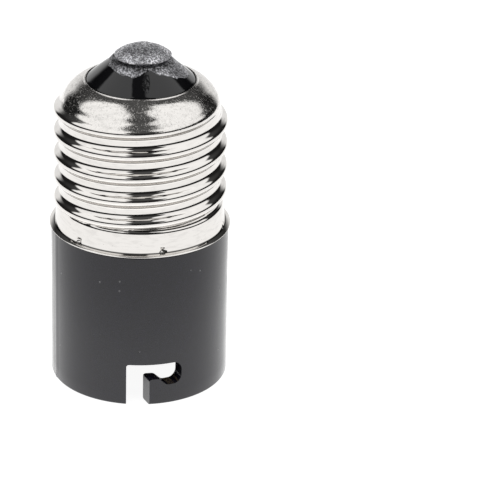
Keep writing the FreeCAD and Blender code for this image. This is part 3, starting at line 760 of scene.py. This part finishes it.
def run_reach(angle):
    """Reach of the solder's run at a bearing, smooth between the measured ones."""
    bearing = (math.degrees(angle) - RUN_REACH[0][0]) % 360 + RUN_REACH[0][0]
    knots = RUN_REACH + [(RUN_REACH[0][0] + 360, RUN_REACH[0][1])]
    for (start, low), (end, high) in zip(knots, knots[1:]):
        if start <= bearing <= end:
            return (low + (high - low) * smooth((bearing - start) / (end - start))) * MM
    return RUN_REACH[0][1] * MM


class ADAPTER_OT_solder(bpy.types.Operator):
    """Make the solder: a button on the eyelet and its run on the glass"""

    bl_idname = "adapter.solder"
    bl_label = "Solder"

    def execute(self, context):
        sizes = context.scene.adapter_nose
        # Painted light and shade: the button's solder is painted lighter than the run's, and the
        # run gets painted shade round the button
        self.make_run(sizes, solder_finish("run_out_solder_painted_shade", 1.1, True))
        self.make_button(sizes, solder_finish("dull_solder_painted_light", 1.6, False))
        return {"FINISHED"}

    def make_run(self, sizes, material):
        """Thin skin of solder with an uneven rounded edge."""
        # The outline's radius first holds the share of the reach: 1 mm stands for all of it
        inner = RUN_HIDDEN
        outline = [(inner + (1 + row / RUN_ROWS) * MM, 0) for row in range(RUN_ROWS + 1)]
        outline += [(outline[-1][0], -RUN_UNDER), (outline[0][0], -RUN_UNDER), outline[0]]
        bm = lathe(outline, RUN_STEPS)
        for vert in bm.verts:
            share = math.hypot(vert.co.x, vert.co.y) / MM - inner / MM - 1
            drop = vert.co.z
            angle = math.atan2(vert.co.y, vert.co.x)
            wobble = RUN_WOBBLE * (math.sin(11 * angle + 1) + math.sin(17 * angle))
            reach = run_reach(angle) + wobble
            out = inner + (reach - inner) * share
            near_edge = max(0.0, 1 - (reach - out) / RUN_ROUND)
            swell = math.sqrt(max(1 - near_edge ** 2, 0.0))
            lump = RUN_LUMP * math.sin(5 * angle) * math.sin(3 * out / MM)
            lift = (sizes.film + lump) * swell - RUN_SINK
            vert.co = (out * math.cos(angle), out * math.sin(angle),
                       glass_height(out) + (drop if drop else lift))
        bmesh.ops.recalc_face_normals(bm, faces=bm.faces)
        finish_piece(bm, "solder_run", material, "adapter")

    def make_button(self, sizes, material):
        """Flat dome of solder with a sharp rim that overhangs its foot."""
        edge = sizes.disc_radius
        foot = edge - BUTTON_INSET
        foot_z = GLASS_TOP_Z + BUTTON_LIFT
        rim_z = GLASS_TOP_Z + BUTTON_OVERHANG
        top = SOLDER_TOP_Z + BUTTON_RISE
        profile = [(0, foot_z), (foot, foot_z), (foot, rim_z)]
        profile += [(edge - inward * MM, rim_z + up * MM) for inward, up in BUTTON_RIM]
        crown, crown_z = profile[-1]
        for row in range(1, BUTTON_ROWS + 1):
            share = 1 - row / BUTTON_ROWS
            profile.append((crown * share, top - (top - crown_z) * share ** BUTTON_CROWN))
        bm = lathe(profile, 120)
        for vert in bm.verts:
            angle = math.atan2(vert.co.y, vert.co.x)
            out = math.hypot(vert.co.x, vert.co.y)
            bend = 1 + 0.01 * math.sin(2 * angle + 0.6) + 0.006 * math.sin(5 * angle)
            vert.co.x = vert.co.x * bend + BUTTON_SHIFT
            vert.co.y *= bend
            if vert.co.z > crown_z:
                wave = math.sin(2.1 * vert.co.x / MM + 1) * math.sin(1.7 * vert.co.y / MM)
                vert.co.z -= BUTTON_DIP * (1 + wave) * min(1.0, out / edge + 0.1)
        finish_piece(bm, "solder_button", material, "adapter", ["centre_solder"],
                     flat_angle=50)


class ADAPTER_OT_contacts(bpy.types.Operator):
    """Make the sprung contacts: turned plungers and round wire springs"""

    bl_idname = "adapter.contacts"
    bl_label = "Spring Contacts"

    def execute(self, context):
        sizes = context.scene.adapter_contacts
        brass = brass_finish("turned_brass", sizes.brass_colour, 0.2, 0.36)
        steel = brass_finish("spring_wire", (0.62, 0.62, 0.63), 0.2, 0.35)
        for letter in "ab":
            low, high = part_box("plunger_" + letter)
            middle = (low + high) / 2
            self.make_plunger(letter, low, high, middle, brass)
            self.make_spring(letter, middle, sizes.wire, steel)
        return {"FINISHED"}

    def make_plunger(self, letter, low, high, middle, brass):
        """Turned pin with a round tip, a flange over the deck and a stem in the spring."""
        nose = 2.3 * MM
        tip = 0.7 * MM
        flange_top = DECK_Z + 1.1 * MM
        stem = 1.7 * MM
        chamfer = 0.2 * MM
        profile = [(0, low.z), (nose - tip, low.z)]
        profile += arc((nose - tip, low.z + tip), tip, -90, 0, 8)[1:]
        profile += [(nose, DECK_Z), (PLUNGER_FLANGE, DECK_Z), (PLUNGER_FLANGE, flange_top),
                    (stem, flange_top), (stem, high.z - chamfer),
                    (stem - chamfer, high.z), (0, high.z)]
        bm = lathe(profile, 64, middle)
        finish_piece(bm, "turned_plunger_" + letter, brass, "contact_" + letter,
                     ["plunger_" + letter], flat_angle=35)

    def make_spring(self, letter, middle, wire, steel):
        """Coil of round wire at the frame's place for the spring."""
        low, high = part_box("spring_" + letter)
        turns = 6
        coil = 2.3 * MM
        height = high.z - low.z - wire
        bm = bmesh.new()
        ring = bmesh.ops.create_circle(bm, segments=10, radius=wire / 2)["verts"]
        bmesh.ops.rotate(bm, verts=ring, cent=(0, 0, 0),
                         matrix=Matrix.Rotation(math.pi / 2, 3, "X"))
        bmesh.ops.translate(bm, verts=ring, vec=(coil, 0, low.z + wire / 2))
        steps = turns * 36
        bmesh.ops.spin(bm, geom=bm.verts[:] + bm.edges[:], cent=(0, 0, 0), axis=(0, 0, 1),
                       dvec=(0, 0, height / steps), angle=TURN * turns, steps=steps)
        bmesh.ops.holes_fill(bm, edges=[edge for edge in bm.edges if edge.is_boundary])
        bmesh.ops.recalc_face_normals(bm, faces=bm.faces)
        bmesh.ops.translate(bm, verts=bm.verts, vec=(middle.x, middle.y, 0))
        spring = finish_piece(bm, "coil_spring_" + letter, steel, "adapter",
                              ["spring_" + letter])
        slide = "plunger_%s_slide" % letter
        joint = next(joint for joint in frame["joints"] if joint["name"] == slide)
        travel = joint["range_m"][1]
        1 - travel / (high.z - low.z)
        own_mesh(spring)


class ADAPTER_OT_inside(bpy.types.Operator):
    """Finish the pieces inside, which keep their solids"""

    bl_idname = "adapter.inside"
    bl_label = "Inner Pieces"

    def execute(self, context):
        brass = bpy.data.materials["turned_brass"]
        lead = brass_finish("tinned_wire", (0.66, 0.64, 0.6), 0.3, 0.45)
        fibre = fibre_finish()
        finishes = {"terminal_a": brass, "terminal_b": brass, "contact_eyelet": brass,
                    "lead_centre": lead, "lead_shell": lead, "retainer_plate": fibre}
        for name, material in finishes.items():
            mesh = frame["nodes"][name].data
            mesh.materials.clear()
            mesh.materials.append(material)
        return {"FINISHED"}


# Stage
PIVOT = Vector((0, 0, 25 * MM))
PIVOT_PIXEL = (140, 218)
PHOTO_SIZE = 500
FOCAL_PIXELS = 3158
CAMERA_ROLL = math.radians(0.41)
SENSOR = 36  # mm
FLOOR_RADIUS = 350 * MM
BOX_FOOT = (0.28, 0.4)
BOX_TOP = (1.34, 1.44)
BOX_LIGHT = 1.14
WALL_LIGHT = 0.95
GAP_BEND = 0.61


class ADAPTER_OT_stage(bpy.types.Operator):
    """Make the pale floor, the soft studio light and the camera"""

    bl_idname = "adapter.stage"
    bl_label = "Stage"

    def execute(self, context):
        self.make_floor()
        self.make_world(context.scene)
        self.make_camera(context.scene)
        context.scene.view_settings.view_transform = "Standard"
        return {"FINISHED"}

    def make_floor(self):
        """White to the camera and in reflections; in reflections a painted pool of light round
        the adapter and a painted shadow under its mouth.
        """
        material, tree = new_material("pale_floor")
        ray = tree.node("ShaderNodeLightPath", output="Is Camera Ray")
        gloss = tree.node("ShaderNodeLightPath", output="Is Glossy Ray")
        paint = tree.node("ShaderNodeBsdfDiffuse", None, {"Color": (0.4, 0.4, 0.4, 1.0)})
        away = tree.length(tree.place())
        # Painted light and shade in reflections: a brighter pool of glow near the adapter, and a
        # painted shadow with no glow under its mouth
        painted_pool_and_shadow = away.ramp(22, 60, 1.3, 0.94) * away.ramp(6.5, 8.6)
        glow = tree.node("ShaderNodeEmission", None, {
            "Color": (1, 1, 1, 1), "Strength": ray * 0.93 + gloss * painted_pool_and_shadow})
        both = tree.node("ShaderNodeAddShader", None, {0: paint, 1: glow})
        tree.node("ShaderNodeOutputMaterial", None, {"Surface": both})
        bm = bmesh.new()
        bmesh.ops.create_circle(bm, cap_ends=True, segments=64, radius=FLOOR_RADIUS)
        mesh = bpy.data.meshes.new("floor")
        bm.to_mesh(mesh)
        bm.free()
        mesh.materials.append(material)
        floor = bpy.data.objects.new("floor", mesh)
        bpy.context.scene.collection.objects.link(floor)

    def make_world(self, scene):
        """Two soft boxes in front, dark between and beside them, and a white wall behind."""
        world = bpy.data.worlds.new("studio")
        scene.world = world
        tree = Tree(world)
        way = tree.node("ShaderNodeTexCoord", output="Generated")
        across, along, up = [
            tree.node("ShaderNodeSeparateXYZ", None, {"Vector": way}, axis) for axis in "XYZ"]
        side = across.maths("ABSOLUTE")
        bearing = side.maths("ARCTAN2", along * -1.0)
        height = up.maths("ARCSINE")
        # Angles in radians; the boxes lean out, and the gap widens and shifts with height
        reach = height * 0.8 + 1.54
        boxes = (bearing - reach).ramp(-0.07, 0.07, 1.0, 0.0)
        boxes = boxes * height.ramp(*BOX_FOOT) * height.ramp(*BOX_TOP, 1.0, 0.0)
        lens = (height - 0.6).maths("ABSOLUTE").ramp(0.0, 0.5, 0.23, 0.0)
        middle = (height.maths("MAXIMUM", GAP_BEND) - GAP_BEND) * -0.19 + 0.07
        gap = ((across - middle).maths("ABSOLUTE") - lens).ramp(0.14, 0.2)
        wall = bearing.ramp(2.4, 2.6) * height.ramp(0.2, 0.5, 1.0, 0.0)
        room = height.ramp(0.3, 1.0, 0.015, 0.09)
        light = room + boxes * gap * BOX_LIGHT + wall * WALL_LIGHT
        seen = tree.node("ShaderNodeLightPath", output="Is Camera Ray")
        sky = tree.node("ShaderNodeBackground", None, {
            "Color": (1, 1, 1, 1), "Strength": light + seen * (1.0 - light)})
        tree.node("ShaderNodeOutputWorld", None, {"Surface": sky})

    def make_camera(self, scene):
        sizes = scene.adapter_stage
        lens = bpy.data.cameras.new("camera")
        lens.sensor_width = SENSOR
        lens.lens = FOCAL_PIXELS / PHOTO_SIZE * SENSOR
        lens.clip_start = 0.01
        camera = bpy.data.objects.new("camera", lens)
        scene.collection.objects.link(camera)
        back = Vector((0, -math.cos(sizes.elevation), math.sin(sizes.elevation)))
        camera.location = PIVOT + back * sizes.distance
        aim = (-back).to_track_quat("-Z", "Y")
        middle = PHOTO_SIZE / 2
        seen = Vector((PIVOT_PIXEL[0] - middle, middle - PIVOT_PIXEL[1], -FOCAL_PIXELS))
        aside = seen.rotation_difference(Vector((0, 0, -1)))
        roll = Matrix.Rotation(CAMERA_ROLL, 3, "Z").to_quaternion()
        camera.rotation_mode = "QUATERNION"
        camera.rotation_quaternion = aim @ roll @ aside
        scene.camera = camera


class ADAPTER_PT_panel(bpy.types.Panel):
    """Operators and sizes of the adapter"""

    bl_idname = "ADAPTER_PT_panel"
    bl_label = "Lamp Adapter"
    bl_space_type = "VIEW_3D"
    bl_region_type = "UI"
    bl_category = "Adapter"

    def draw(self, context):
        for operator in OPERATORS:
            self.layout.operator(operator.bl_idname)
        for name, group in GROUPS.items():
            for size in group.__annotations__:
                self.layout.prop(getattr(context.scene, name), size)


GROUPS = {"adapter_shell": ShellSizes, "adapter_body": BodySizes, "adapter_nose": NoseSizes,
          "adapter_contacts": ContactSizes, "adapter_stage": StageSizes}
OPERATORS = [ADAPTER_OT_stage, ADAPTER_OT_shell, ADAPTER_OT_body, ADAPTER_OT_glass,
             ADAPTER_OT_solder, ADAPTER_OT_contacts, ADAPTER_OT_inside]


def register():
    for kind in [*GROUPS.values(), *OPERATORS, ADAPTER_PT_panel]:
        bpy.utils.register_class(kind)
    for name, group in GROUPS.items():
        setattr(bpy.types.Scene, name, PointerProperty(type=group))


def unregister():
    for name in GROUPS:
        delattr(bpy.types.Scene, name)
    for kind in reversed([*GROUPS.values(), *OPERATORS, ADAPTER_PT_panel]):
        bpy.utils.unregister_class(kind)


def main():
    register()
    for operator in OPERATORS:
        family, name = operator.bl_idname.split(".")
        getattr(getattr(bpy.ops, family), name)()
    bpy.context.view_layer.update()


if __name__ == "__main__":
    main()
